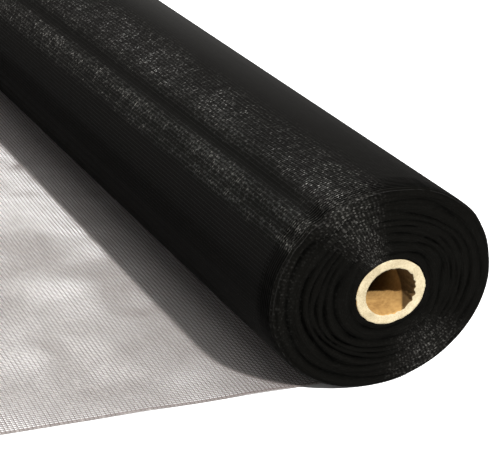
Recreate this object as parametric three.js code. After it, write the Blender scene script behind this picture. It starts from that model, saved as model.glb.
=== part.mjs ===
// Roll of woven insect screen cloth on a paper tube, with its loose end laid out beside it.
// Units are millimetres. +Z is up and the roll's axis runs along Y.
// The origin is the middle of the flat spot that the roll rests on. The near end faces -Y.

import * as THREE from 'three';

const { degToRad, radToDeg, lerp, smoothstep } = THREE.MathUtils;

// Driving dimensions
const CLOTH_WIDTH = 610;
const ROLL_RADIUS = 50;
const ROLL_FLATTENING = 0.08;
const REST_DEPTH = 0.72;
const RIM_ROUND = 3.2;

const CORE_LENGTH = 609.6;
const CORE_BORE_RADIUS = 11.5;
const CORE_WALL = 4.3;
const CORE_FLATTENING = 0.064;
const CORE_OFFSET_X = 2.9;
const CORE_OFFSET_Z = -1.1;

const CLEARANCE = 0.3;

const SHEET_THICKNESS = 1;
const SHEET_START_X = -13;
const SHEET_END_X = -230;
const SHEET_SETBACK = 10.9;
const SHEET_SKEW = 0.042;
const SHEET_START_LIFT = 40;

// How finely the curved faces are cut
const ROLL_SEGMENTS = 72;
const ROLL_STATIONS = 12;
const CORE_SEGMENTS = 48;
const SHEET_COLUMNS = 18;
const SHEET_ROWS = 24;
const RIM_STEPS = [30, 60, 90];

// The far end's turns lie as the near end's do, turned round by this many degrees
const FAR_END_TURN = 140;

// Sizes worked out from the driving dimensions
const ROLL_HALF_WIDTH = ROLL_RADIUS * (1 + ROLL_FLATTENING);
const ROLL_HALF_HEIGHT = ROLL_RADIUS * (1 - ROLL_FLATTENING);
const ROLL_CENTRE_Z = ROLL_HALF_HEIGHT - REST_DEPTH;
const CORE_RADIUS = CORE_BORE_RADIUS + CORE_WALL;
const CORE_HALF_WIDTH = CORE_RADIUS * (1 + CORE_FLATTENING);
const CORE_HALF_HEIGHT = CORE_RADIUS * (1 - CORE_FLATTENING);
const CORE_CENTRE_Z = ROLL_CENTRE_Z + CORE_OFFSET_Z;
const HALF_WIDTH = CLOTH_WIDTH / 2;

// Turns that lie lower than their neighbours on an end of the roll.
// at: share of the way from the core to the rim, depth: mm, sway: share of the depth that comes
// and goes around the turn, deepest: degrees from +X towards +Z where the turn lies lowest.
const SUNK_TURNS = [
  { at: 0.06, depth: 1.0, sway: 0.3, deepest: 200 },
  { at: 0.18, depth: 0.7, sway: 0.5, deepest: 150 },
  { at: 0.29, depth: 1.1, sway: 0.4, deepest: 230 },
  { at: 0.41, depth: 0.8, sway: 0.6, deepest: 80 },
  { at: 0.52, depth: 1.3, sway: 0.5, deepest: 195 },
  { at: 0.64, depth: 0.9, sway: 0.7, deepest: 300 },
  { at: 0.76, depth: 1.5, sway: 0.6, deepest: 185 },
  { at: 0.88, depth: 1.2, sway: 0.7, deepest: 210 },
];

// Half-width of each sunk turn, as a share of the way from the core to the rim
const TURN_REACH = 0.5 / SUNK_TURNS.length;

// Long shallow ridges (height above 0) and grooves (below 0) that the winding leaves on the flank.
// near, far: degrees from +X towards +Z at each end, width: half-width in degrees, height: mm.
const FLANK_BANDS = [
  { near: 136, far: 142, width: 9, height: 0.7 },
  { near: 127, far: 128, width: 8, height: -0.6 },
  { near: 113, far: 122, width: 12, height: 0.5 },
  { near: 148, far: 153, width: 8, height: 0.45 },
  { near: 86, far: 78, width: 14, height: -0.4 },
  { near: 40, far: 52, width: 12, height: 0.45 },
  { near: 10, far: 2, width: 14, height: -0.4 },
  { near: 176, far: 184, width: 14, height: -0.35 },
];

// Waves in which the loose end lies on the surface.
// height: mm, pitch: mm from crest to crest, heading: degrees from +X of the way it travels,
// shift: share of a pitch.
const SHEET_WAVES = [
  { height: 1.1, pitch: 118, heading: 155, shift: 0.1 },
  { height: 0.8, pitch: 205, heading: 80, shift: 0.55 },
  { height: 0.5, pitch: 74, heading: 200, shift: 0.3 },
];

// Smooth hump: 1 at the middle, 0 from one half-width away
function hump(distance, halfWidth) {
  const share = Math.min(Math.abs(distance) / halfWidth, 1);
  return 0.5 * (1 + Math.cos(Math.PI * share));
}

// Shortest way round from one angle to another, in degrees
function turnBetween(a, b) {
  return ((((a - b) % 360) + 540) % 360) - 180;
}

// How far the flank stands out from its oval at an angle and a place along the roll
function flankRelief(degrees, y) {
  const along = (y + HALF_WIDTH) / CLOTH_WIDTH;
  let relief = 0;
  for (const band of FLANK_BANDS) {
    const middle = lerp(band.near, band.far, along);
    relief += band.height * hump(turnBetween(degrees, middle), band.width);
  }
  return relief;
}

// How far an end lies inside the roll's full length, at a share of the way from core to rim
function endDepth(share, degrees) {
  let depth = 0;
  for (const turn of SUNK_TURNS) {
    const around = Math.cos(degToRad(degrees - turn.deepest));
    const here = turn.depth * (1 - (turn.sway * (1 - around)) / 2);
    depth += here * hump(share - turn.at, TURN_REACH);
  }
  return depth;
}

// Wound cloth: a ring-shaped profile turned about Y, then brought to its oval, off-centre section
function makeScreenRoll() {
  const innerRadius = CORE_RADIUS + CLEARANCE;
  const span = ROLL_RADIUS - innerRadius;
  const shares = [0];
  for (const turn of SUNK_TURNS) {
    shares.push(turn.at, turn.at + TURN_REACH);
  }
  const flatShare = 1 - RIM_ROUND / span;
  const endShares = shares.filter((share) => share < flatShare);
  endShares.push(flatShare);

  const near = endShares.map((share) => ({ radius: innerRadius + span * share, inset: 0 }));
  for (const angle of RIM_STEPS) {
    const turn = degToRad(angle);
    near.push({
      radius: ROLL_RADIUS - RIM_ROUND * (1 - Math.sin(turn)),
      inset: RIM_ROUND * (1 - Math.cos(turn)),
    });
  }

  const profile = near.map((p) => new THREE.Vector2(p.radius, -HALF_WIDTH + p.inset));
  const flankLength = CLOTH_WIDTH - 2 * RIM_ROUND;
  for (let i = 1; i < ROLL_STATIONS; i += 1) {
    const y = -HALF_WIDTH + RIM_ROUND + (flankLength * i) / ROLL_STATIONS;
    profile.push(new THREE.Vector2(ROLL_RADIUS, y));
  }
  for (const p of near.slice().reverse()) {
    profile.push(new THREE.Vector2(p.radius, HALF_WIDTH - p.inset));
  }
  profile.push(profile[0].clone());

  const geometry = new THREE.LatheGeometry(profile, ROLL_SEGMENTS);
  const position = geometry.attributes.position;
  for (let i = 0; i < position.count; i += 1) {
    const radius = Math.hypot(position.getX(i), position.getZ(i));
    const turn = Math.atan2(position.getZ(i), position.getX(i));
    const degrees = radToDeg(turn);
    const share = (radius - innerRadius) / span;
    const y = position.getY(i);

    const relief = flankRelief(degrees, y) * share;
    const outerX = (ROLL_HALF_WIDTH + relief) * Math.cos(turn);
    const outerZ = (ROLL_HALF_HEIGHT + relief) * Math.sin(turn);
    const innerX = CORE_OFFSET_X + (CORE_HALF_WIDTH + CLEARANCE) * Math.cos(turn);
    const innerZ = CORE_OFFSET_Z + (CORE_HALF_HEIGHT + CLEARANCE) * Math.sin(turn);
    const x = lerp(innerX, outerX, share);
    const z = ROLL_CENTRE_Z + lerp(innerZ, outerZ, share);

    const onEnd = Math.abs(y) > HALF_WIDTH - RIM_ROUND && share < 1;
    const depth = onEnd ? endDepth(share, y < 0 ? degrees : degrees + FAR_END_TURN) : 0;
    position.setXYZ(i, x, y - Math.sign(y) * depth, Math.max(z, 0));
  }
  return geometry;
}

// Paper tube: a rectangular wall section turned about Y, then pressed slightly oval
function makeCoreTube() {
  const half = CORE_LENGTH / 2;
  const profile = [
    new THREE.Vector2(CORE_BORE_RADIUS, -half),
    new THREE.Vector2(CORE_RADIUS, -half),
    new THREE.Vector2(CORE_RADIUS, half),
    new THREE.Vector2(CORE_BORE_RADIUS, half),
    new THREE.Vector2(CORE_BORE_RADIUS, -half),
  ];
  const geometry = new THREE.LatheGeometry(profile, CORE_SEGMENTS);
  geometry.scale(1 + CORE_FLATTENING, 1, 1 - CORE_FLATTENING);
  geometry.translate(CORE_OFFSET_X, 0, CORE_CENTRE_Z);
  return geometry;
}

// Height of the roll's underside above the surface, at a distance from its middle
function rollUnderside(x) {
  const rise = Math.sqrt(1 - (x / ROLL_HALF_WIDTH) ** 2);
  return ROLL_CENTRE_Z - ROLL_HALF_HEIGHT * rise;
}

// Height of the loose end's lower face: waves that rise with the distance from the roll
function sheetLift(x, y) {
  let wave = 0;
  for (const w of SHEET_WAVES) {
    const heading = degToRad(w.heading);
    const along = (x * Math.cos(heading) + y * Math.sin(heading)) / w.pitch + w.shift;
    wave += w.height * Math.sin(2 * Math.PI * along);
  }
  const fade = smoothstep(SHEET_START_X - x, 0, SHEET_START_LIFT);
  return Math.max(0, wave) * fade;
}

// Loose end: a flat box of cloth, skewed to the roll, whose points are lifted into its waves
function makeLooseEnd() {
  const geometry = new THREE.BoxGeometry(1, 1, 1, SHEET_COLUMNS, SHEET_ROWS, 1);
  const position = geometry.attributes.position;
  for (let i = 0; i < position.count; i += 1) {
    const out = 0.5 - position.getX(i);
    const across = position.getY(i);
    const isTop = position.getZ(i) > 0;
    const sheared = SHEET_SKEW * (across * CLOTH_WIDTH);
    const x = lerp(SHEET_START_X, SHEET_END_X + sheared, out);
    const y = across * CLOTH_WIDTH + SHEET_SETBACK - SHEET_SKEW * x;
    const wedge = rollUnderside(Math.max(x, -ROLL_HALF_WIDTH)) - CLEARANCE;
    const thickness = Math.min(SHEET_THICKNESS, wedge);
    const lift = sheetLift(x, y);
    position.setXYZ(i, x, y, isTop ? lift + thickness : lift);
  }
  return geometry;
}

function makeMesh(name, geometry, color, roughness) {
  const material = new THREE.MeshStandardMaterial({ color, roughness, metalness: 0 });
  const mesh = new THREE.Mesh(geometry, material);
  mesh.name = name;
  return mesh;
}

const roll = new THREE.Group();
roll.add(makeMesh('screen_roll', makeScreenRoll(), 0x1b1b1c, 0.6));
roll.add(makeMesh('core_tube', makeCoreTube(), 0xe9dcbc, 0.9));
roll.add(makeMesh('loose_end', makeLooseEnd(), 0x2a2a2b, 0.65));

export default roll;
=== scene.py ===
import math

import bpy
import numpy as np
from mathutils import Matrix, Vector


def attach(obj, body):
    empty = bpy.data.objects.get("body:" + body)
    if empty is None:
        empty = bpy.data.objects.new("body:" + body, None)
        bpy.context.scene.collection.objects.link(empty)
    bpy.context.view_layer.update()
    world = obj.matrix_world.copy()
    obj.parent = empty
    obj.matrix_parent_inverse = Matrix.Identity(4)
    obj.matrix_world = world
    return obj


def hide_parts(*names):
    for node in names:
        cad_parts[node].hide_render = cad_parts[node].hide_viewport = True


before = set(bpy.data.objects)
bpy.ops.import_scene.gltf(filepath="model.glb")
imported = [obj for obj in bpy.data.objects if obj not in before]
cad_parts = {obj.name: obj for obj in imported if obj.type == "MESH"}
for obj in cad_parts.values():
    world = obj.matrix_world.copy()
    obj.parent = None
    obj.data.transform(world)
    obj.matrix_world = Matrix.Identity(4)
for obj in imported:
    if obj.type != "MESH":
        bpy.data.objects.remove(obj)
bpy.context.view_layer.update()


# Camera
# It stands in front of the roll's near end, to the left and above, with a long lens.
# The head is canted a few degrees, as the picture is.
EYE = (-0.3486, -0.8144, 0.3311)
LOOK_AZIMUTH = math.radians(-29.02)
LOOK_DOWN = math.radians(23.03)
CANT = math.radians(4.77)
LENS_MM = 116.3
SENSOR_MM = 36.0
VIEW_REACH = 60.0

camera_data = bpy.data.cameras.new("camera")
camera_data.lens = LENS_MM
camera_data.sensor_width = SENSOR_MM
camera_data.clip_end = VIEW_REACH
camera = bpy.data.objects.new("camera", camera_data)
camera.matrix_world = (
    Matrix.Translation(EYE)
    @ Matrix.Rotation(LOOK_AZIMUTH, 4, "Z")
    @ Matrix.Rotation(math.pi / 2 - LOOK_DOWN, 4, "X")
    @ Matrix.Rotation(CANT, 4, "Z")
)
bpy.context.scene.collection.objects.link(camera)
bpy.context.scene.camera = camera


# Floor and light
# A seamless pale sheet under one key light, a wide soft box overhead, a weak fill from the left and
# a dim room that the camera sees as white. The key comes from in front of the near end, so the
# roll's shadow lies along it.
FLOOR_HALF = 12.0
FLOOR_COLOUR = (0.80, 0.80, 0.795)
FLOOR_ROUGHNESS = 0.9
FLOOR_SPECULAR = 0.1
ROOM_COLOUR = (1.0, 1.0, 1.0)
ROOM_STRENGTH = 0.36
BACKDROP_STRENGTH = 1.0
SOFT_BOX_SIZE = 2.0
SOFT_BOX_HEIGHT = 1.6
SOFT_BOX_POWER = 16.0
FILL_SIZE = 0.7
FILL_PLACE = (-1.2, -0.7, 0.55)
FILL_POWER = 2.0
KEY_STRENGTH = 9.0
KEY_SOFTNESS = math.radians(2.5)
KEY_TRAVEL = (-0.078, 1.08, -1.0)


def place(tree, kind, sockets=None, **settings):
    """A new node: settings are its own properties, sockets its inputs, as values or as links."""
    made = tree.nodes.new(kind)
    for name, value in settings.items():
        setattr(made, name, value)
    for key, value in (sockets or {}).items():
        if isinstance(value, bpy.types.NodeSocket):
            tree.links.new(value, made.inputs[key])
        else:
            made.inputs[key].default_value = value
    return made


def principled(name, colour, roughness, specular):
    """A new material with one Principled node on its output, and that node and its tree."""
    material = bpy.data.materials.new(name)
    material.use_nodes = True
    tree = material.node_tree
    tree.nodes.clear()
    shader = place(tree, "ShaderNodeBsdfPrincipled", {
        "Base Color": (*colour, 1.0), "Roughness": roughness, "Specular IOR Level": specular})
    place(tree, "ShaderNodeOutputMaterial", {"Surface": shader.outputs["BSDF"]})
    return material, tree, shader


floor_mesh = bpy.data.meshes.new("floor")
floor_mesh.from_pydata(
    [(-FLOOR_HALF, -FLOOR_HALF, 0), (FLOOR_HALF, -FLOOR_HALF, 0), (FLOOR_HALF, FLOOR_HALF, 0),
     (-FLOOR_HALF, FLOOR_HALF, 0)], [], [(0, 1, 2, 3)])
floor = bpy.data.objects.new("floor", floor_mesh)
bpy.context.scene.collection.objects.link(floor)
floor_mesh.materials.append(
    principled("floor_paper", FLOOR_COLOUR, FLOOR_ROUGHNESS, FLOOR_SPECULAR)[0])

world = bpy.data.worlds.new("room")
world.use_nodes = True
room = world.node_tree
room_light = place(room, "ShaderNodeMapRange", {
    "Value": place(room, "ShaderNodeLightPath").outputs["Is Camera Ray"],
    "To Min": ROOM_STRENGTH, "To Max": BACKDROP_STRENGTH})
room.nodes["Background"].inputs["Color"].default_value = (*ROOM_COLOUR, 1.0)
room.links.new(room_light.outputs["Result"], room.nodes["Background"].inputs["Strength"])
bpy.context.scene.world = world
bpy.context.scene.view_settings.view_transform = "Standard"


def hang_light(name, kind, energy, location=(0.0, 0.0, 0.0), travel=None, **settings):
    """A light that shines along travel, or straight down where none is given."""
    data = bpy.data.lights.new(name, kind)
    data.energy = energy
    for setting, value in settings.items():
        setattr(data, setting, value)
    light = bpy.data.objects.new(name, data)
    light.location = location
    if travel is not None:
        light.rotation_euler = Vector(travel).to_track_quat("-Z", "Y").to_euler()
    bpy.context.scene.collection.objects.link(light)


hang_light("key", "SUN", KEY_STRENGTH, travel=KEY_TRAVEL, angle=KEY_SOFTNESS)
hang_light("soft_box", "AREA", SOFT_BOX_POWER, (0.0, 0.0, SOFT_BOX_HEIGHT), size=SOFT_BOX_SIZE)
hang_light("fill", "AREA", FILL_POWER, FILL_PLACE, travel=-Vector(FILL_PLACE), size=FILL_SIZE)


# Wound cloth
# Some hundred turns of black screen cloth, woven of vinyl-coated glass yarn, wound by machine on a
# paper tube. The turns don't lie quite even on the ends, and the flank keeps long shallow bands.
CLOTH_WIDTH = 0.610
HALF_CLOTH = CLOTH_WIDTH / 2
ROLL_HALF_WIDTH = 0.0540
ROLL_HALF_HEIGHT = 0.0460
REST_DEPTH = 0.00072
ROLL_CENTRE_Z = ROLL_HALF_HEIGHT - REST_DEPTH
RIM_ROUND = 0.0032
CORE_OUTER_X = 0.01681
CORE_OUTER_Z = 0.01479
CORE_OFFSET = (0.0029, -0.0011)
CORE_GAP = 0.0003
OUTER_TURN = 0.00028
WEFT_PITCH = 0.001814
WARP_PITCH = 0.001411
WEFTS_AROUND = 174
ROLL_COLUMNS = 256
FLANK_ROWS = 60
END_ROWS = 88
RIM_ROWS = 8
UNDERSIDE = -math.pi / 2
NEAR_END_SEED = 11
FAR_END_SEED = 23
GLINT_SEED = 3

# Long bands of the flank: degrees from +X towards +Z at the near and far end, half-width in
# degrees, height in millimetres
FLANK_BANDS = np.array([
    (136, 147, 8, 0.6),
    (129.5, 139, 6, -0.6),
    (119, 130, 11, 0.5),
    (147.5, 152, 6, 0.4),
    (86, 78, 14, -0.4),
    (40, 52, 12, 0.45),
    (10, 2, 14, -0.4),
    (176, 184, 14, -0.35),
], dtype=[("near", float), ("far", float), ("width", float), ("height", float)])

# Turns that lie low on an end: share of the way from tube to rim, depth in millimetres, share of
# the depth that sways around the turn, degrees where it is deepest
SUNK_TURNS = np.array([
    (0.06, 1.0, 0.3, 200),
    (0.18, 0.7, 0.5, 150),
    (0.29, 1.1, 0.4, 230),
    (0.41, 0.8, 0.6, 80),
    (0.52, 1.3, 0.5, 195),
    (0.64, 0.9, 0.7, 300),
    (0.76, 1.5, 0.6, 185),
    (0.88, 1.2, 0.7, 210),
], dtype=[("at", float), ("depth", float), ("sway", float), ("deepest", float)])
TURN_REACH = 0.5 / len(SUNK_TURNS)
FAR_END_TURN = math.radians(140)

# Packs of turns on an end: how many, the depth of the grooves between them, how much the packs
# crowd, as a share of a pack, in how many waves from tube to rim and from where in the first, how
# far a groove wanders, as a share of a pack, and the share of the sunk turns' depth that is used
PACKS = 8.8
PACK_DEPTH = 0.0019
PACK_CROWDING = 0.35
CROWDING_WAVES = 1.7
CROWDING_SHIFT = 0.2
PACK_WANDER = 0.14
SUNK_SHARE = 0.5

# Strength of the grooves: its mean, how much it sways and where it is most, how much it flutters
# and within what range of phases, its least and most, the share of the way from the tube over which
# it grows from its start, and how quickly a groove takes away from how proud a turn stands
GROOVE_MEAN = 0.62
GROOVE_SWAY = 0.25
GROOVE_MOST_AT = math.radians(205)
GROOVE_FLUTTER = 0.11
FLUTTER_PHASES = 6
GROOVE_LIMITS = (0.05, 1.3)
GROOVE_GROWTH = 0.12
GROOVE_START = 0.2
GROOVE_HIDES = 1.6

# Random waves round the turn that bend the grooves: how many, their orders from the first to just
# below the last, and how much their phase turns from tube to rim
BENDS = 10
BEND_ORDERS = (1, 6)
BEND_INWARD = (1.5, 26)


def hump(distance, half_width):
    """A raised cosine: 1 at distance 0, 0 from one half-width away."""
    return 0.5 * (1 + np.cos(np.pi * np.clip(np.abs(distance) / half_width, 0, 1)))


def band_sum(bands, column, turn, y):
    """The named column of each band times a hump over the angle from the band's middle, which
    drifts from its near angle to its far one along the roll, added up."""
    along = (y + HALF_CLOTH) / CLOTH_WIDTH
    total = np.zeros(np.broadcast(turn, y).shape)
    for band in bands:
        middle = np.radians(band["near"] + (band["far"] - band["near"]) * along)
        away = np.degrees((turn - middle + np.pi) % (2 * np.pi) - np.pi)
        total += band[column] * hump(away, band["width"])
    return total


def end_depth(share, turn, seed):
    """How far an end lies in, and how proud of the grooves a turn stands, from 0 to 1: a hump for
    each sunk turn, its depth swaying with the angle, and packs of turns, rounded as the root of a
    sine over the share, with grooves between them that wander and fade around the turn."""
    depth = np.zeros(np.broadcast(share, turn).shape)
    for row in SUNK_TURNS:
        around = np.cos(turn - math.radians(row["deepest"]))
        here = row["depth"] * 1e-3 * (1 - row["sway"] * 0.5 * (1 - around))
        depth += SUNK_SHARE * here * hump(share - row["at"], TURN_REACH)
    draw = np.random.default_rng(seed)
    crowding = np.sin(2 * np.pi * (CROWDING_WAVES * share + CROWDING_SHIFT))
    phase = PACKS * share + PACK_CROWDING * crowding
    sway = np.cos(turn - GROOVE_MOST_AT) * np.clip(2 * share, 0, 1)
    strength = GROOVE_MEAN + GROOVE_SWAY * sway
    for _ in range(BENDS):
        order, inward = draw.integers(*BEND_ORDERS), draw.uniform(*BEND_INWARD)
        wave = np.cos(order * turn + inward * share + draw.uniform(0, 2 * np.pi))
        phase = phase + PACK_WANDER * draw.normal() / math.sqrt(order) * wave
        shift = draw.uniform(0, FLUTTER_PHASES)
        flutter = np.cos(2 * order * turn + 2 * inward * share + shift)
        strength = strength + GROOVE_FLUTTER * flutter
    strength = np.clip(strength, *GROOVE_LIMITS) * np.clip(share / GROOVE_GROWTH, GROOVE_START, 1)
    groove = (1 - np.sqrt(np.abs(np.sin(np.pi * phase)))) * strength
    return depth + PACK_DEPTH * groove, np.clip(1 - GROOVE_HIDES * groove, 0, 1)


def wound_surface(share, turn, y, sink):
    """A point of the wound cloth: the tube's oval and the roll's oval at the same angle, blended by
    share (0 at the tube, 1 at the rim), with the bands added. The roll's oval is smaller by sink
    all round, and the underside is pressed flat at that height."""
    relief = band_sum(FLANK_BANDS, "height", turn, y) * 1e-3 * share
    outer_x = (ROLL_HALF_WIDTH - sink + relief) * np.cos(turn)
    outer_z = (ROLL_HALF_HEIGHT - sink + relief) * np.sin(turn)
    inner_x = CORE_OFFSET[0] + (CORE_OUTER_X + CORE_GAP) * np.cos(turn)
    inner_z = CORE_OFFSET[1] + (CORE_OUTER_Z + CORE_GAP) * np.sin(turn)
    x = inner_x + (outer_x - inner_x) * share
    z = ROLL_CENTRE_Z + inner_z + (outer_z - inner_z) * share
    return x, np.maximum(z, sink)


# Where the cloth catches the light, painted into its colour as glints besides its gloss: degrees at
# the near and far end and half-width in degrees, as for the bands, and strength from 0 to 1
LIT_BANDS = np.array([
    (136, 147, 6, 0.22),
    (147.5, 151, 5, 0.095),
    (142, 149, 10, 0.035),
    (119, 130, 9, 0.085),
    (109, 113, 21, 0.08),
], dtype=[("near", float), ("far", float), ("width", float), ("strength", float)])
LIT_FLOOR = 0.004

# More of it near the ends: middle and half-width in degrees, strength, and how far in it reaches
LIT_RIM = (118, 26, 0.06)
LIT_RIM_REACH = 0.020

# Patches: how many random waves, how strong, and how much their phase turns in a metre along the
# roll and in a radian round it
PATCH_WAVES = 9
PATCH_STRENGTH = 0.11
PATCH_ALONG = (15, 120)
PATCH_ROUND = (2, 14)

# Painted sheen, a paler colour on the upper right of the flank where the light grazes it: middle and
# half-width in degrees, the place along the roll where it starts, the stretch over which it grows by
# 1, and the most of it
PAINTED_SHEEN_MIDDLE = 58
PAINTED_SHEEN_WIDTH = 48
PAINTED_SHEEN_START = -0.31
PAINTED_SHEEN_GROWTH = 0.26
PAINTED_SHEEN_MOST = 1.35

# Sectors of an end with painted glints, a paler colour where the edges of the turns face the light:
# middle and half-width in degrees, strength, and the share of the way from tube to rim at which they
# start and over which they grow
END_SECTORS = np.array([
    (117, 25, 0.17, -1.5, 2.5),
    (303, 34, 0.12, 0.1, 0.5),
    (168, 50, 0.02, 0.6, 0.4),
], dtype=[("middle", float), ("width", float), ("strength", float), ("start", float),
          ("growth", float)])


def lustre(turn, y):
    """How much of the cloth glints, as a painted highlight in its colour besides coat and smoother
    gloss: a least amount plus the lit bands, plus a hump over the angle that falls off from the
    ends, all of it times 1 plus random waves that break it into patches."""
    draw = np.random.default_rng(GLINT_SEED)
    patch = np.ones(np.broadcast(turn, y).shape)
    for _ in range(PATCH_WAVES):
        along, around = draw.uniform(*PATCH_ALONG), draw.uniform(*PATCH_ROUND)
        wave = np.cos(along * y + around * turn + draw.uniform(0, 2 * np.pi))
        patch = patch + PATCH_STRENGTH * wave
    middle, width, strength = LIT_RIM
    fall = np.exp(-(HALF_CLOTH - np.abs(y)) / LIT_RIM_REACH)
    by_rim = hump(np.degrees(turn) - middle, width) * strength * fall
    return np.clip((LIT_FLOOR + band_sum(LIT_BANDS, "strength", turn, y) + by_rim) * patch, 0, 1)


def painted_sheen(turn, y):
    """Painted sheen on the upper right of the flank, paler where the light grazes it: a hump over
    the angle, times a share that grows from none near the near end to its most far back."""
    growth = np.clip((y - PAINTED_SHEEN_START) / PAINTED_SHEEN_GROWTH, 0, PAINTED_SHEEN_MOST)
    return hump(np.degrees(turn) % 360 - PAINTED_SHEEN_MIDDLE, PAINTED_SHEEN_WIDTH) * growth


def end_painted_glint(share, turn):
    """How much of an end glints, as a painted highlight: a least amount plus a hump over the angle
    for each sector in which the edges of the turns lie square to the light, times a share that grows
    towards the rim."""
    total = np.full(np.broadcast(share, turn).shape, LIT_FLOOR)
    for sector in END_SECTORS:
        growth = np.clip((share - sector["start"]) / sector["growth"], 0, 1)
        away = np.degrees(turn) % 360 - sector["middle"]
        total += sector["strength"] * hump(away, sector["width"]) * growth
    return total


def mesh_piece(name, points, quads, cloth, shine, slots=None):
    """An object of quads whose points carry two attributes: cloth, the place on the cloth with the
    painted sheen there, or on an end how proud it stands, which sets the painted shade of its
    grooves, as its third part, and the glint amount, how much of it glints as gloss and a painted
    highlight. Where slots is given, it holds the material of each quad."""
    mesh = bpy.data.meshes.new(name)
    mesh.vertices.add(len(points))
    mesh.vertices.foreach_set("co", points.reshape(-1).astype(np.float32))
    mesh.loops.add(quads.size)
    mesh.loops.foreach_set("vertex_index", quads.reshape(-1).astype(np.int32))
    mesh.polygons.add(len(quads))
    mesh.polygons.foreach_set("loop_start", np.arange(0, quads.size, 4, dtype=np.int32))
    mesh.polygons.foreach_set("use_smooth", np.ones(len(quads), dtype=bool))
    if slots is not None:
        mesh.polygons.foreach_set("material_index", slots.astype(np.int32))
    place_on_cloth = mesh.attributes.new("cloth", "FLOAT_VECTOR", "POINT")
    spot = np.zeros((len(points), 3), dtype=np.float32)
    spot[:, :cloth.shape[1]] = cloth
    place_on_cloth.data.foreach_set("vector", spot.reshape(-1))
    glinting = mesh.attributes.new("lustre", "FLOAT", "POINT")
    glinting.data.foreach_set("value", shine.reshape(-1).astype(np.float32))
    mesh.update(calc_edges=True)
    mesh.validate()
    piece = bpy.data.objects.new(name, mesh)
    bpy.context.scene.collection.objects.link(piece)
    return piece


def ring_quads(rows, columns):
    """Quads of a grid whose last row and last column join the first ones."""
    r, c = np.meshgrid(np.arange(rows), np.arange(columns), indexing="ij")
    r2, c2 = (r + 1) % rows, (c + 1) % columns
    return np.stack([r * columns + c, r2 * columns + c, r2 * columns + c2, r * columns + c2],
                    -1).reshape(-1, 4)


span = (ROLL_HALF_WIDTH + ROLL_HALF_HEIGHT) / 2 - (CORE_OUTER_X + CORE_OUTER_Z) / 2 - CORE_GAP
rim_share = 1 - RIM_ROUND / span
rim_angle = np.linspace(0, np.pi / 2, RIM_ROWS + 1)[1:]
end_share = np.concatenate(
    [np.linspace(0, rim_share, END_ROWS), 1 - (1 - rim_share) * (1 - np.sin(rim_angle))])
end_inset = np.concatenate([np.zeros(END_ROWS), RIM_ROUND * (1 - np.cos(rim_angle))])
flank_y = np.linspace(RIM_ROUND - HALF_CLOTH, HALF_CLOTH - RIM_ROUND, FLANK_ROWS + 2)[1:-1]
profile_share = np.concatenate([end_share, np.ones(FLANK_ROWS), end_share[::-1]])[:, None]
profile_y = np.concatenate([end_inset - HALF_CLOTH, flank_y, HALF_CLOTH - end_inset[::-1]])[:, None]

turns = UNDERSIDE + np.linspace(0, 2 * np.pi, ROLL_COLUMNS, endpoint=False)[None, :]
rim_fade = np.clip((1 - profile_share) / (1 - rim_share), 0, 1)
near_in, near_proud = end_depth(profile_share, turns, NEAR_END_SEED)
far_in, far_proud = end_depth(profile_share, turns + FAR_END_TURN, FAR_END_SEED)
wound_y = profile_y + np.where(profile_y < 0, near_in, -far_in) * rim_fade
proud = np.where(profile_y < 0, near_proud, far_proud) * rim_fade + 1 - rim_fade
wound_x, wound_z = wound_surface(profile_share, turns, wound_y, OUTER_TURN)
wound_points = np.stack(np.broadcast_arrays(wound_x, wound_y, wound_z), -1).reshape(-1, 3)

# The last row of each rim counts as flank
ROUND_ON_END = 0.999
on_end = np.abs(profile_y) > HALF_CLOTH - RIM_ROUND * ROUND_ON_END
walked = np.hypot(np.diff(profile_share[:, 0]) * span, np.diff(profile_y[:, 0]))
walked = np.concatenate([[0], np.cumsum(walked)])[:, None]
around = (turns - UNDERSIDE) / (2 * np.pi) * WEFTS_AROUND * WEFT_PITCH
# Third part of the cloth attribute: on the ends how proud a turn stands, which sets the painted
# shade of the grooves; on the flank the painted sheen
third = np.where(on_end, proud, painted_sheen(turns, profile_y))
wound_cloth_at = np.stack(np.broadcast_arrays(around, walked, third), -1).reshape(-1, 3)
# How much each point glints: gloss and painted highlights on the flank, painted highlights on the
# ends
wound_glint_amount = np.where(on_end, end_painted_glint(profile_share, turns), lustre(turns, profile_y))

# Material slot 0 is the flank, slot 1 is both ends and the side against the tube
end_rows = END_ROWS + RIM_ROWS
row_slots = np.ones(len(profile_share))
row_slots[end_rows:-end_rows - 1] = 0
wound = mesh_piece("wound_cloth", wound_points, ring_quads(len(profile_share), ROLL_COLUMNS),
                   wound_cloth_at, wound_glint_amount, np.repeat(row_slots, ROLL_COLUMNS))


# Glints: the power that leaves only the highest draws, what these and the even part give, the least
# that a warp yarn gives and how much it may add, and how much the bulge of a yarn changes it
GLINT_POWER = 6.0
GLINT_PEAK = 3.0
GLINT_EVEN = 0.22
WARP_LEAST = 0.7
WARP_SPREAD = 0.6
BULGE_SHARE = 0.5

# Clusters of glints: the noise's scale, the range of it that counts, and what that gives, and the
# scale of the fine grain
CLUSTER_SCALE = 170.0
CLUSTER_RANGE = (0.32, 0.68)
CLUSTER_GAIN = (0.25, 1.75)
GRAIN_SCALE = 2600.0
NOISE_DETAIL = 2.0


def reckon(tree, operation, *values):
    """The result of a Math node with these inputs, as values or as links."""
    made = place(tree, "ShaderNodeMath", dict(enumerate(values)), operation=operation)
    return made.outputs[0]


def raise_grain(tree, shader, height, strength, distance):
    """Lets a surface stand up by height, a mask from 0 to 1, times distance in metres, as far as
    strength, from 0 to 1, lets it show."""
    bump = place(tree, "ShaderNodeBump", {
        "Height": height, "Strength": strength, "Distance": distance})
    tree.links.new(bump.outputs["Normal"], shader.inputs["Normal"])


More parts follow.
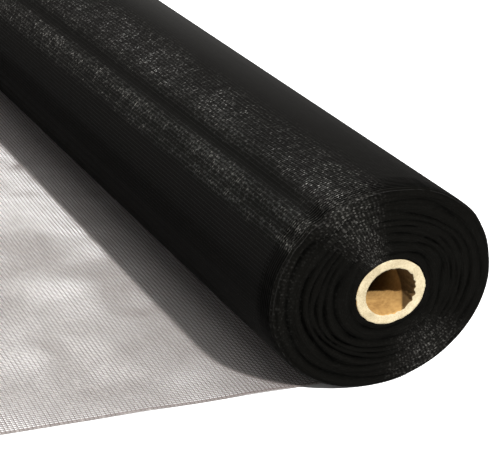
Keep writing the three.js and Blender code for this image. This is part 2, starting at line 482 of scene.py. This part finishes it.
def glint_group():
    """Coated yarn: each half stretch between crossings draws a number. Its glint, which the
    materials turn into a painted highlight and on the yarns also into gloss, is the input glint
    amount times an even part plus a part that only the highest draws have. Each warp yarn shifts it
    a little, it comes and goes as a cosine from crossing to crossing, where the yarn bulges, and a
    coarse noise gathers it in clusters. Grain is fine noise for a bump, and the painted sheen is the
    third part of Cloth."""
    group = bpy.data.node_groups.new("Yarn glints", "ShaderNodeTree")
    face = group.interface
    face.new_socket("Cloth", in_out="INPUT", socket_type="NodeSocketVector")
    for name, value in (("Gloss and painted glint", 0.1), ("Weft pitch", WEFT_PITCH), ("Warp pitch", WARP_PITCH)):
        socket = face.new_socket(name, in_out="INPUT", socket_type="NodeSocketFloat")
        socket.default_value = value
    for name in ("Glint", "Grain", "Painted sheen"):
        face.new_socket(name, in_out="OUTPUT", socket_type="NodeSocketFloat")
    enter = place(group, "NodeGroupInput").outputs
    leave = place(group, "NodeGroupOutput")

    split = place(group, "ShaderNodeSeparateXYZ", {0: enter["Cloth"]}).outputs
    half_pitch = reckon(group, "MULTIPLY", enter["Weft pitch"], 0.5)
    weft = reckon(group, "FLOOR", reckon(group, "DIVIDE", split[0], half_pitch))
    warp = reckon(group, "ROUND", reckon(group, "DIVIDE", split[1], enter["Warp pitch"]))
    group.links.new(split[2], leave.inputs["Painted sheen"])
    cell = place(group, "ShaderNodeCombineXYZ", {0: weft, 1: warp}).outputs[0]
    own = place(group, "ShaderNodeTexWhiteNoise", {"Vector": cell}, noise_dimensions="2D")
    shared = place(group, "ShaderNodeTexWhiteNoise", {"W": warp}, noise_dimensions="1D")
    high = reckon(group, "POWER", own.outputs["Value"], GLINT_POWER)
    sharp = reckon(group, "MULTIPLY_ADD", high, GLINT_PEAK, GLINT_EVEN)
    share = reckon(group, "MULTIPLY_ADD", shared.outputs["Value"], WARP_SPREAD, WARP_LEAST)
    crossings = reckon(group, "DIVIDE", split[0], enter["Weft pitch"])
    way = reckon(group, "MULTIPLY", crossings, 2 * math.pi)
    bulge = reckon(group, "MULTIPLY_ADD", reckon(group, "COSINE", way), BULGE_SHARE, 1.0)
    coarse = place(group, "ShaderNodeTexNoise", {
        "Vector": enter["Cloth"], "Scale": CLUSTER_SCALE, "Detail": NOISE_DETAIL})
    cluster = place(group, "ShaderNodeMapRange", {
        "Value": coarse.outputs["Fac"],
        "From Min": CLUSTER_RANGE[0], "From Max": CLUSTER_RANGE[1],
        "To Min": CLUSTER_GAIN[0], "To Max": CLUSTER_GAIN[1]}).outputs["Result"]
    glint = reckon(group, "MULTIPLY", reckon(group, "MULTIPLY", sharp, share), enter["Gloss and painted glint"])
    glint = reckon(group, "MULTIPLY", reckon(group, "MULTIPLY", glint, bulge), cluster)
    group.links.new(reckon(group, "MINIMUM", glint, 1.0), leave.inputs["Glint"])
    grain = place(group, "ShaderNodeTexNoise", {
        "Vector": enter["Cloth"], "Scale": GRAIN_SCALE, "Detail": NOISE_DETAIL})
    group.links.new(grain.outputs["Fac"], leave.inputs["Grain"])
    return group


yarn_glints = glint_group()
# Colour of the painted sheen
PAINTED_SHEEN_BLACK = (0.0165, 0.0160, 0.0152)
GLINT_SMOOTHNESS = 0.6
COAT_ROUGHNESS = 0.3
SHEEN_ROUGHNESS = 0.5
GRAIN_STRENGTH = 0.5


def yarn_material(name, dull, bright, roughness, specular, grain_height, sheen=0.0):
    """Vinyl-coated yarn: dull, paler where a painted sheen lies, and paler still, smoother and
    coated where it glints, the paler colour there being a painted highlight. The grain stands up by
    grain_height, in metres."""
    material, tree, shader = principled(name, dull, roughness, specular)
    cloth_at = place(tree, "ShaderNodeAttribute", attribute_name="cloth")
    shine = place(tree, "ShaderNodeAttribute", attribute_name="lustre")
    glints = place(tree, "ShaderNodeGroup", node_tree=yarn_glints)
    tree.links.new(cloth_at.outputs["Vector"], glints.inputs["Cloth"])
    tree.links.new(shine.outputs["Fac"], glints.inputs["Gloss and painted glint"])
    # Painted sheen: the colour turns paler where the third part of the cloth attribute says
    sheened = place(tree, "ShaderNodeMix", {
        "Factor": glints.outputs["Painted sheen"], "A": (*dull, 1.0), "B": (*PAINTED_SHEEN_BLACK, 1.0)},
        data_type="RGBA", clamp_factor=False)
    # Painted highlight: where it glints, the colour turns paler towards bright
    colour = place(tree, "ShaderNodeMix", {
        "Factor": glints.outputs["Glint"], "A": sheened.outputs["Result"], "B": (*bright, 1.0)},
        data_type="RGBA")
    tree.links.new(colour.outputs["Result"], shader.inputs["Base Color"])
    rough = place(tree, "ShaderNodeMapRange", {
        "Value": glints.outputs["Glint"], "To Min": roughness,
        "To Max": roughness * GLINT_SMOOTHNESS})
    tree.links.new(rough.outputs["Result"], shader.inputs["Roughness"])
    tree.links.new(glints.outputs["Glint"], shader.inputs["Coat Weight"])
    shader.inputs["Coat Roughness"].default_value = COAT_ROUGHNESS
    shader.inputs["Sheen Weight"].default_value = sheen
    shader.inputs["Sheen Roughness"].default_value = SHEEN_ROUGHNESS
    raise_grain(tree, shader, glints.outputs["Grain"], GRAIN_STRENGTH, grain_height)
    return material


UNDER_BLACK = (0.0026, 0.0025, 0.0022)
# Painted highlight of the turns below the outermost, where they glint
UNDER_BRIGHT = (0.02, 0.02, 0.018)
# Painted shade in the grooves of the ends
GROOVE_PAINTED_SHADE = (0.0004, 0.0004, 0.0003)
PROUD_BLACK = (0.0018, 0.0017, 0.0014)
# Painted highlight of the ends, where they glint
CUT_PAINTED_HIGHLIGHT = (0.080, 0.077, 0.070)
END_CELL = 0.00062
END_CELL_LENGTH = 3 * END_CELL
END_ROUGHNESS = 0.7
END_SPECULAR = 0.008

# Lean of the cut edges: the noise's scale over the end and outwards from the tube, its detail and
# roughness, and how strongly and how high it stands
LEAN_DRIFT = 50.0
LEAN_OUTWARD = 1500.0
LEAN_DETAIL = 3.0
LEAN_ROUGHNESS = 0.6
LEAN_STRENGTH = 0.8
LEAN_HEIGHT = 0.0009

wound.data.materials.append(yarn_material(
    "inner_turns", UNDER_BLACK, UNDER_BRIGHT, roughness=0.7, specular=0.02, grain_height=0.0002))


def end_material():
    """Ends of the turns: rings of cut yarn, with painted shade that makes the grooves blacker, and a
    few painted glints. Their edges lean in and out by a noise over the distance from the tube, which
    drifts over the end."""
    material, tree, shader = principled("cut_turns", PROUD_BLACK, END_ROUGHNESS, END_SPECULAR)
    cloth_at = place(tree, "ShaderNodeAttribute", attribute_name="cloth").outputs["Vector"]
    split = place(tree, "ShaderNodeSeparateXYZ", {0: cloth_at}).outputs
    shine = place(tree, "ShaderNodeAttribute", attribute_name="lustre").outputs["Fac"]
    spot = place(tree, "ShaderNodeTexCoord").outputs["Object"]
    drift = place(tree, "ShaderNodeVectorMath", {0: spot, 1: (LEAN_DRIFT, LEAN_DRIFT, LEAN_DRIFT)},
                  operation="MULTIPLY")
    outward = place(tree, "ShaderNodeCombineXYZ", {
        1: reckon(tree, "MULTIPLY", split[1], LEAN_OUTWARD)})
    rings = place(tree, "ShaderNodeVectorMath", {0: drift.outputs[0], 1: outward.outputs[0]},
                  operation="ADD")
    lean = place(tree, "ShaderNodeTexNoise", {
        "Vector": rings.outputs[0], "Scale": 1.0, "Detail": LEAN_DETAIL,
        "Roughness": LEAN_ROUGHNESS})
    glints = place(tree, "ShaderNodeGroup", {
        "Cloth": cloth_at, "Gloss and painted glint": shine,
        "Weft pitch": END_CELL_LENGTH, "Warp pitch": END_CELL}, node_tree=yarn_glints)
    # Painted shade: the grooves between packs of turns turn blacker
    black = place(tree, "ShaderNodeMix", {
        "Factor": split[2], "A": (*GROOVE_PAINTED_SHADE, 1.0), "B": (*PROUD_BLACK, 1.0)}, data_type="RGBA")
    # Painted highlight: where an end glints, the colour turns paler
    colour = place(tree, "ShaderNodeMix", {
        "Factor": glints.outputs["Glint"], "A": black.outputs["Result"], "B": (*CUT_PAINTED_HIGHLIGHT, 1.0)},
        data_type="RGBA")
    tree.links.new(colour.outputs["Result"], shader.inputs["Base Color"])
    raise_grain(tree, shader, lean.outputs["Fac"], LEAN_STRENGTH, LEAN_HEIGHT)
    return material


wound.data.materials.append(end_material())
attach(wound, "root")
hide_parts("screen_roll")


# Outermost turn
# The same cloth as it shows: warp yarns that run round the roll and weft yarns that run along it,
# welded where they cross. They follow the bands of the flank and the round of the rim.
BAND_STATIONS = 31
REST_STATIONS = 44
BAND_RANGE = (math.radians(90), math.radians(165))
WEFT_STATIONS = 62
YARN_WIDTH = 0.00034
YARN_HEIGHT = 0.00022
YARN_ROOT = 0.00008
RIM_START = math.radians(48)
RIM_TAPER = 0.006
STRING_RISE = 0.25
STRING_SHINE = 0.16
RIM_DULLING = 0.7
RIM_LEAST_RISE = 0.1

# Sections of the yarns, as corners across and up in metres: a ridge and a flat-topped ridge, both
# rooted in the turn below
YARN_SIZE = (YARN_WIDTH, YARN_HEIGHT + YARN_ROOT)
YARN_SUNK = (0, YARN_ROOT)
RING_SECTION = np.array([(-0.5, 0), (0, 1), (0.5, 0)]) * YARN_SIZE - YARN_SUNK
STRING_SECTION = np.array([(-0.5, 0), (-0.12, 1), (0.12, 1), (0.5, 0)]) * YARN_SIZE - YARN_SUNK

# The way over the roll's outline: round a rim from where the yarns start, and along the flank
rim_arc = RIM_ROUND * (math.pi / 2 - RIM_START)
flank_length = CLOTH_WIDTH - 2 * RIM_ROUND
outline = flank_length + 2 * rim_arc


def rim_path(walk):
    """Share, y, and the normal's outward and endward parts at a distance walked over the roll's
    outline: round the near rim, along the flank and round the far rim."""
    near_angle = np.clip(RIM_START + walk / RIM_ROUND, 0, math.pi / 2)
    far_angle = np.clip(RIM_START + (outline - walk) / RIM_ROUND, 0, math.pi / 2)
    angle = np.minimum(near_angle, far_angle)
    share = 1 - (1 - rim_share) * (1 - np.sin(angle))
    side = np.where(walk < outline / 2, -1.0, 1.0)
    on_rim = HALF_CLOTH - RIM_ROUND * (1 - np.cos(angle))
    y = np.where(angle < math.pi / 2, side * on_rim, walk - outline / 2)
    return share, y, np.sin(angle), side * np.cos(angle)


def yarn_prisms(middle, side, up, section, looped):
    """Yarns carried along paths: middle is (yarns, stations, 3), and side and up are the directions
    in which the section's corners lie. The walls face outwards where the corners run over the top
    from minus side to plus side, and side cross path is up. A looped yarn closes on itself, and any
    other has a section of four corners and is capped."""
    yarns, stations = middle.shape[:2]
    corners = len(section)
    side = np.broadcast_to(side, middle.shape)[:, :, None, :]
    up = np.broadcast_to(up, middle.shape)[:, :, None, :]
    across, rise = section[:, 0][:, None], section[:, 1][:, None]
    points = middle[:, :, None, :] + side * across + up * rise
    start = (np.arange(yarns) * stations * corners)[:, None, None]
    steps = np.arange(stations if looped else stations - 1)
    here = (steps * corners)[None, :, None]
    there = ((steps + 1) % stations * corners)[None, :, None]
    corner = np.arange(corners)[None, None, :]
    after = (corner + 1) % corners
    walls = np.stack([start + here + corner, start + here + after, start + there + after,
                      start + there + corner], -1).reshape(-1, 4)
    if looped:
        return points.reshape(-1, 3), walls
    first = start[:, 0, 0][:, None]
    caps = np.concatenate([first + np.array([3, 2, 1, 0]),
                           first + (stations - 1) * corners + np.array([0, 1, 2, 3])])
    return points.reshape(-1, 3), np.concatenate([walls, caps])


def oval_normal(turn):
    """The x and z parts of the outward normal of the roll's oval at an angle: the cosine and sine,
    each over its half axis, brought to length 1."""
    out_x, out_z = np.cos(turn) / ROLL_HALF_WIDTH, np.sin(turn) / ROLL_HALF_HEIGHT
    length = np.hypot(out_x, out_z)
    return out_x / length, out_z / length


def rim_rise(walk):
    """How far the yarns are past their start at a rim, at a distance walked over the outline: 0 at
    the start, 1 past the taper."""
    return np.clip(np.minimum(walk, outline - walk) / RIM_TAPER, 0, 1)


def ridge_points(walk, turn, warp):
    """Middle, side and up of the yarns at distances walked over the outline and angles round the
    roll. The yarns rise less over the last stretch to the rim, and the strings less than the
    rings."""
    walk, turn = np.broadcast_arrays(walk, turn)
    share, y, outward, endward = rim_path(walk)
    x, z = wound_surface(share, turn, y, OUTER_TURN)
    out_x, out_z = oval_normal(turn)
    middle = np.stack([x, y, z], -1)
    up = np.stack([out_x * outward, endward, out_z * outward], -1)
    rise = RIM_LEAST_RISE + (1 - RIM_LEAST_RISE) * rim_rise(walk)
    if warp:
        side = np.stack([-out_x * endward, outward, -out_z * endward], -1)
        return middle, side, up * rise[..., None]
    side = np.stack([out_z, 0 * turn, -out_x], -1)
    return middle, side, up * rise[..., None] * STRING_RISE


warp_walk = np.arange(0, outline, WARP_PITCH)[:, None]
warp_turn = np.concatenate([
    np.linspace(*BAND_RANGE, BAND_STATIONS, endpoint=False),
    np.linspace(BAND_RANGE[1], BAND_RANGE[0] + 2 * np.pi, REST_STATIONS, endpoint=False)])[None, :]
warp_points, warp_quads = yarn_prisms(*ridge_points(warp_walk, warp_turn, True), RING_SECTION, True)
warp_cloth = np.stack(np.broadcast_arrays(
    (warp_turn - UNDERSIDE) / (2 * np.pi) * WEFTS_AROUND * WEFT_PITCH, warp_walk,
    painted_sheen(warp_turn, warp_walk - HALF_CLOTH)), -1)
# Painted glints and gloss of the outer yarns, dulled towards the rims
warp_shine = lustre(warp_turn, rim_path(warp_walk)[1])
warp_shine = warp_shine * (1 - RIM_DULLING * (1 - rim_rise(warp_walk)))
corners = len(RING_SECTION)
rings = mesh_piece("outer_warp", warp_points, warp_quads,
                   np.repeat(warp_cloth.reshape(-1, 3), corners, axis=0),
                   np.repeat(warp_shine, corners))

weft_count = np.arange(WEFTS_AROUND)[:, None]
weft_turn = UNDERSIDE + weft_count * 2 * np.pi / WEFTS_AROUND
weft_walk = np.linspace(0, outline, WEFT_STATIONS)[None, :]
weft_points, weft_quads = yarn_prisms(
    *ridge_points(weft_walk, weft_turn, False), STRING_SECTION, False)
weft_cloth = np.stack(np.broadcast_arrays(
    (weft_count + WEFTS_AROUND) * WEFT_PITCH, weft_walk,
    painted_sheen(weft_turn, weft_walk - HALF_CLOTH)), -1)
weft_shine = lustre(weft_turn, rim_path(weft_walk)[1]) * STRING_SHINE
corners = len(STRING_SECTION)
strings = mesh_piece("outer_weft", weft_points, weft_quads,
                     np.repeat(weft_cloth.reshape(-1, 3), corners, axis=0),
                     np.repeat(weft_shine, corners))

# Black of the outer yarn, and the painted highlight that it turns to where it glints
OUTER_BLACK = (0.0044, 0.0041, 0.0037)
OUTER_BRIGHT = (0.13, 0.125, 0.112)
outer_yarn = yarn_material("outer_yarn", OUTER_BLACK, OUTER_BRIGHT, roughness=0.55, specular=0.02,
                           grain_height=0.0001, sheen=0.015)
for piece in (rings, strings):
    piece.data.materials.append(outer_yarn)
    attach(piece, "root")
    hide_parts("screen_roll")


# Paper tube
# A spiral-wound board tube, sawn to length: its cut ends are pale and rough at the edges, and its
# bore shows the brown paper that it is lined with.
CORE_HALF = 0.3048
CORE_CENTRE_Z = ROLL_CENTRE_Z + CORE_OFFSET[1]
CORE_BORE_X = 0.01224
CORE_BORE_Z = 0.01076
CORE_COLUMNS = 192
BORE_ROWS = 40
WALL_ROWS = 7

# Burr of the sawn edges: how far along the tube it reaches, its height, and for the bore and the
# outside the orders of its waves, the power by which they fall off and the share that is used, which
# sways around the bore. The splinters are outside, each with its angle and half-width in radians.
BURR_REACH = 0.0035
BURR = 0.00045
BURR_SEED = 5
BORE_ORDERS = range(2, 40)
BORE_FALL = 0.6
BORE_SHARE = 0.4
BORE_SWAY = 0.5
OUTSIDE_ORDERS = range(2, 26)
OUTSIDE_FALL = 0.8
OUTSIDE_SHARE = 0.5
SPLINTER = 2.2
SPLINTERS = ((0.02, 0.10), (3.16, 0.12))

# Lining: the length of tube in which its strip winds round once, the turn at which it starts, what
# it is darkened to, how sharp the strip's edge is, and the depths over which the bore darkens
# further in as painted shade
STRIP_LEAD = 0.092
STRIP_TURN = 1.90
LINING_SHADE = 0.22
STRIP_EDGE = (0.20, 0.30)
MOUTH_START = 0.013
MOUTH_END = 0.030

# Board: colours from its dark fibres to its pale ones, the scale and detail of the fibres' and the
# blotches' noises, the range of their sum that counts, and how strongly and high the fibres stand
LINING_DARK = (0.215, 0.115, 0.036)
LINING_PALE = (0.335, 0.195, 0.065)
SAWN_DARK = (0.20, 0.163, 0.099)
SAWN_PALE = (0.325, 0.277, 0.184)
BOARD_SPECULAR = 0.15
LINING_GRAIN = 700.0
SAWN_GRAIN = 1500.0
FIBRE_DETAIL = 5.0
BLOTCH_SCALE = 160.0
BLOTCH_DETAIL = 2.0
FIBRE_RANGE = (0.7, 1.25)
FIBRE_STRENGTH = 0.35
FIBRE_HEIGHT = 0.0002


def harmonics(turn, draw, orders, falling):
    """A closed random wave around the turn: cosines of the given orders with random phases, each
    weaker by its order to the power that falling gives."""
    wave = np.zeros_like(turn)
    for order in orders:
        height = draw.normal() / order**falling
        wave = wave + height * np.cos(order * turn + draw.uniform(0, 2 * np.pi))
    return wave


def tube_surface(wall, turn, y):
    """A point of the tube: the bore's oval and the outer oval at the same angle, blended by wall
    (0 at the bore, 1 outside), with edges that wander close to the sawn ends."""
    draw = np.random.default_rng(BURR_SEED)
    bore_share = BORE_SHARE + BORE_SWAY * np.cos(turn)
    bore_burr = harmonics(turn, draw, BORE_ORDERS, BORE_FALL) * bore_share
    outside_burr = harmonics(turn, draw, OUTSIDE_ORDERS, OUTSIDE_FALL)
    for middle, width in SPLINTERS:
        outside_burr = outside_burr + SPLINTER * hump(turn - middle, width)
    burr = (bore_burr * (1 - wall) + outside_burr * wall * OUTSIDE_SHARE) * BURR
    burr = burr * np.exp(-(CORE_HALF - np.abs(y)) / BURR_REACH)
    away_x = CORE_BORE_X + (CORE_OUTER_X - CORE_BORE_X) * wall + burr
    away_z = CORE_BORE_Z + (CORE_OUTER_Z - CORE_BORE_Z) * wall + burr
    return CORE_OFFSET[0] + away_x * np.cos(turn), CORE_CENTRE_Z + away_z * np.sin(turn)


along_tube = CORE_HALF * np.sin(np.linspace(math.pi / 2, -math.pi / 2, BORE_ROWS))
wall_steps = np.linspace(0, 1, WALL_ROWS)[1:-1]
end_count = len(wall_steps)
tube_wall = np.concatenate(
    [np.zeros(BORE_ROWS), wall_steps, np.ones(BORE_ROWS), wall_steps[::-1]])[:, None]
tube_y = np.concatenate([along_tube, np.full(end_count, -CORE_HALF), along_tube[::-1],
                         np.full(end_count, CORE_HALF)])[:, None]
tube_turn = np.linspace(0, 2 * np.pi, CORE_COLUMNS, endpoint=False)[None, :]
tube_x, tube_z = tube_surface(tube_wall, tube_turn, tube_y)
tube_points = np.stack(np.broadcast_arrays(tube_x, tube_y, tube_z), -1).reshape(-1, 3)
side_slots, cut_slots = np.zeros(BORE_ROWS - 1), np.ones(end_count + 1)
row_slots = np.concatenate([side_slots, cut_slots, side_slots, cut_slots])
tube = mesh_piece("paper_tube", tube_points, ring_quads(len(tube_wall), CORE_COLUMNS),
                  tube_points[:, :2], np.zeros(len(tube_points)),
                  np.repeat(row_slots, CORE_COLUMNS))


def board_material(name, dark, pale, grain_scale, roughness, strip_and_bore_shade=None):
    """Paper board: fibres and faint blotches shift its colour, and the fibres stand up a little.
    With a shade factor, a strip that winds about the tube's axis as a helix is darker by that
    factor, and so, as painted shade, is all that lies further in than the mouths, over a soft edge."""
    material, tree, shader = principled(name, pale, roughness, BOARD_SPECULAR)

    def between(value, low, high, start=0.0):
        """A value brought from low to high into start to 1."""
        made = place(tree, "ShaderNodeMapRange", {
            "Value": value, "From Min": low, "From Max": high, "To Min": start})
        return made.outputs["Result"]

    spot = place(tree, "ShaderNodeTexCoord").outputs["Object"]
    fibre = place(tree, "ShaderNodeTexNoise", {
        "Vector": spot, "Scale": grain_scale, "Detail": FIBRE_DETAIL}).outputs["Fac"]
    blotch = place(tree, "ShaderNodeTexNoise", {
        "Vector": spot, "Scale": BLOTCH_SCALE, "Detail": BLOTCH_DETAIL}).outputs["Fac"]
    colour = place(tree, "ShaderNodeMix", {
        "Factor": between(reckon(tree, "ADD", fibre, blotch), *FIBRE_RANGE),
        "A": (*dark, 1.0), "B": (*pale, 1.0)}, data_type="RGBA")
    paper = colour.outputs["Result"]
    if strip_and_bore_shade is not None:
        split = place(tree, "ShaderNodeSeparateXYZ", {0: spot}).outputs
        rise = reckon(tree, "SUBTRACT", split[2], CORE_CENTRE_Z)
        angle = reckon(tree, "ARCTAN2", rise, reckon(tree, "SUBTRACT", split[0], CORE_OFFSET[0]))
        winding = reckon(tree, "MULTIPLY_ADD", split[1], -2 * math.pi / STRIP_LEAD, angle)
        wave = reckon(tree, "SINE", reckon(tree, "ADD", winding, STRIP_TURN))
        strip = between(wave, *STRIP_EDGE, strip_and_bore_shade)
        # Painted shade: the bore darkens further in than its mouths
        painted_bore_shade = between(reckon(tree, "ABSOLUTE", split[1]), CORE_HALF - MOUTH_END,
                        CORE_HALF - MOUTH_START, strip_and_bore_shade)
        shade = reckon(tree, "MINIMUM", strip, painted_bore_shade)
        grey = place(tree, "ShaderNodeCombineXYZ", {0: shade, 1: shade, 2: shade})
        paper = place(tree, "ShaderNodeVectorMath", {0: paper, 1: grey.outputs[0]},
                      operation="MULTIPLY").outputs[0]
    tree.links.new(paper, shader.inputs["Base Color"])
    raise_grain(tree, shader, fibre, FIBRE_STRENGTH, FIBRE_HEIGHT)
    return material


tube.data.materials.append(board_material(
    "kraft_lining", LINING_DARK, LINING_PALE, LINING_GRAIN, roughness=0.8,
    strip_and_bore_shade=LINING_SHADE))
tube.data.materials.append(board_material(
    "sawn_board", SAWN_DARK, SAWN_PALE, SAWN_GRAIN, roughness=0.9))
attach(tube, "root")
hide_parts("core_tube")


# Loose end
# The outermost stretch of the same cloth, unrolled by hand and let lie. Its yarns are woven 18 by
# 14 to the inch and welded where they cross, and the surface shows through its gaps.
SHEET_START_X = -0.0125
SHEET_END_X = -0.230
SHEET_SETBACK = 0.0079
SHEET_SKEW = 0.0398
SHEET_START_LIFT = 0.040

# Height over the surface: its base, what that loses away from the roll, from where and over what
# run, the least height, and the share of the waves' height that is used
NET_LIFT = 0.00090
NET_LIFT_LOSS = 0.00010
LOSS_START = -0.065
LOSS_RUN = 0.08
LEAST_LIFT = 0.00003
WAVE_SHARE = 0.20

# Yarns: width and height of each kind, how deep they sink into each other where they cross, the
# shortest weft that is kept, the distance between the points of a yarn, and the yarns at each edge
WEFT_SIZE = (0.00029, 0.00027)
WARP_SIZE = (0.00046, 0.00010)
WELD_DEPTH = 0.00003
SHORTEST_WEFT = 0.004
YARN_STEP = 0.010
SELVEDGE_YARNS = 1
SELVEDGE_PITCH = 0.00090

# Section of a flat yarn in its widths and heights, over the top first
FLAT_SECTION = np.array([(-0.5, 0.5), (0.5, 0.5), (0.5, -0.5), (-0.5, -0.5)])

# Painted glints, which pale the yarns more the further they lie from the roll: the most of them,
# from where they grow away from the roll and over what run
NET_PAINTED_GLINT = 0.6
NET_PAINTED_GLINT_START = -0.05
NET_PAINTED_GLINT_RUN = 0.10

# Waves: height and pitch in millimetres, heading in degrees from +X, shift in pitches
SHEET_WAVES = np.array([
    (1.1, 118, 155, 0.1),
    (0.8, 205, 80, 0.55),
    (0.5, 74, 200, 0.3),
], dtype=[("height", float), ("pitch", float), ("heading", float), ("shift", float)])

# Fine ripples on top of them, in the same terms
RIPPLES = np.array([
    (0.12, 52, 20, 0.2),
    (0.08, 36, 75, 0.6),
    (0.14, 64, 140, 0.9),
    (0.05, 22, 110, 0.4),
    (0.09, 41, 170, 0.1),
    (0.10, 88, 60, 0.7),
], dtype=SHEET_WAVES.dtype)

# Puckers that the pull of the roll leaves beside it, in the same terms, and where they lie
PUCKERS = np.array([
    (0.13, 21, 72, 0.3),
    (0.12, 27, 104, 0.8),
], dtype=SHEET_WAVES.dtype)
PUCKER_MIDDLE = (-0.055, -0.075)
PUCKER_REACH = (0.055, 0.11)


def wave_sum(waves, x, y):
    """Sum of straight sine waves, each along its heading, at a point of the surface."""
    total = np.zeros(np.broadcast(x, y).shape)
    for row in waves:
        heading = math.radians(row["heading"])
        along = (x * np.cos(heading) + y * np.sin(heading)) / (row["pitch"] * 1e-3) + row["shift"]
        total += row["height"] * 1e-3 * np.sin(2 * np.pi * along)
    return total


def sheet_lift(x, y):
    """Height of the loose end over the surface: a base that falls off with the distance from the
    roll, plus the sum of its waves where it is above 0, rising smoothly with that distance, plus
    the ripples and the puckers, which fade out around their middle, and never less than the
    least height."""
    rise = np.clip((SHEET_START_X - x) / SHEET_START_LIFT, 0, 1)
    rise = rise * rise * (3 - 2 * rise)
    waves = np.maximum(wave_sum(SHEET_WAVES, x, y), 0) * rise * WAVE_SHARE
    base = NET_LIFT - NET_LIFT_LOSS * np.clip((LOSS_START - x) / LOSS_RUN, 0, 1)
    fade = hump(x - PUCKER_MIDDLE[0], PUCKER_REACH[0]) * hump(y - PUCKER_MIDDLE[1], PUCKER_REACH[1])
    fine = wave_sum(RIPPLES, x, y) + wave_sum(PUCKERS, x, y) * fade
    return np.maximum(base + waves + fine, LEAST_LIFT)


def cloth_point(along, across):
    """A point of the laid cloth: along runs away from the roll and across along it, both skewed."""
    x = SHEET_START_X - along + SHEET_SKEW * across
    y = across + SHEET_SETBACK - SHEET_SKEW * x
    return x, y


half_skew = SHEET_SKEW * HALF_CLOTH
reach = SHEET_START_X - SHEET_END_X
net_weft_along = np.arange(-half_skew, reach, WEFT_PITCH)
net_weft_end = np.minimum(HALF_CLOTH, net_weft_along / SHEET_SKEW)
long_enough = net_weft_end + HALF_CLOTH > SHORTEST_WEFT
net_weft_along, net_weft_end = net_weft_along[long_enough], net_weft_end[long_enough]
run = np.linspace(0, 1, int(CLOTH_WIDTH / YARN_STEP) + 1)[None, :]
across = -HALF_CLOTH + (net_weft_end[:, None] + HALF_CLOTH) * run
net_x, net_y = cloth_point(net_weft_along[:, None], across)
net_z = sheet_lift(net_x, net_y) + WARP_SIZE[1] + WEFT_SIZE[1] / 2 - WELD_DEPTH
net_weft_points, net_weft_quads = yarn_prisms(
    np.stack([net_x, net_y, net_z], -1), (1, 0, 0), (0, 0, 1), FLAT_SECTION * WEFT_SIZE, False)
net_weft_cloth = np.stack(np.broadcast_arrays(net_weft_along[:, None], across), -1)

selvedge = np.arange(1, SELVEDGE_YARNS + 1) * SELVEDGE_PITCH
net_warp_across = np.concatenate(
    [-HALF_CLOTH + selvedge, np.arange(-HALF_CLOTH, HALF_CLOTH, WARP_PITCH), HALF_CLOTH - selvedge])
net_warp_start = np.maximum(net_warp_across * SHEET_SKEW, -half_skew)
run = np.linspace(0, 1, int(reach / YARN_STEP) + 1)[None, :]
along = net_warp_start[:, None] + (reach - net_warp_start)[:, None] * run
net_x, net_y = cloth_point(along, net_warp_across[:, None])
net_z = sheet_lift(net_x, net_y) + WARP_SIZE[1] / 2
net_warp_points, net_warp_quads = yarn_prisms(
    np.stack([net_x, net_y, net_z], -1), (0, 1, 0), (0, 0, 1), FLAT_SECTION * WARP_SIZE, False)
net_warp_cloth = np.stack(np.broadcast_arrays(along, net_warp_across[:, None]), -1)

net_points = np.concatenate([net_weft_points, net_warp_points])
net_quads = np.concatenate([net_weft_quads, net_warp_quads + len(net_weft_points)])
net_cloth = np.concatenate([net_weft_cloth.reshape(-1, 2), net_warp_cloth.reshape(-1, 2)])
net_cloth = np.repeat(net_cloth, len(FLAT_SECTION), axis=0)
# Painted glints that pale the loose yarns away from the roll
net_painted_glint = NET_PAINTED_GLINT * np.clip((NET_PAINTED_GLINT_START - net_points[:, 0]) / NET_PAINTED_GLINT_RUN, 0, 1)
net = mesh_piece("loose_net", net_points, net_quads, net_cloth, net_painted_glint)
net.data.polygons.foreach_set("use_smooth", np.zeros(len(net.data.polygons), dtype=bool))

# The loose yarn is painted far paler than the same black yarn on the roll, as painted light, and
# paler still where it glints
LOOSE_LIT_GREY = (0.135, 0.113, 0.106)
LOOSE_BRIGHT = (0.25, 0.22, 0.205)
net.data.materials.append(yarn_material(
    "loose_yarn", LOOSE_LIT_GREY, LOOSE_BRIGHT, roughness=0.5, specular=0.3, grain_height=0.0001))
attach(net, "root")
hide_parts("loose_end")
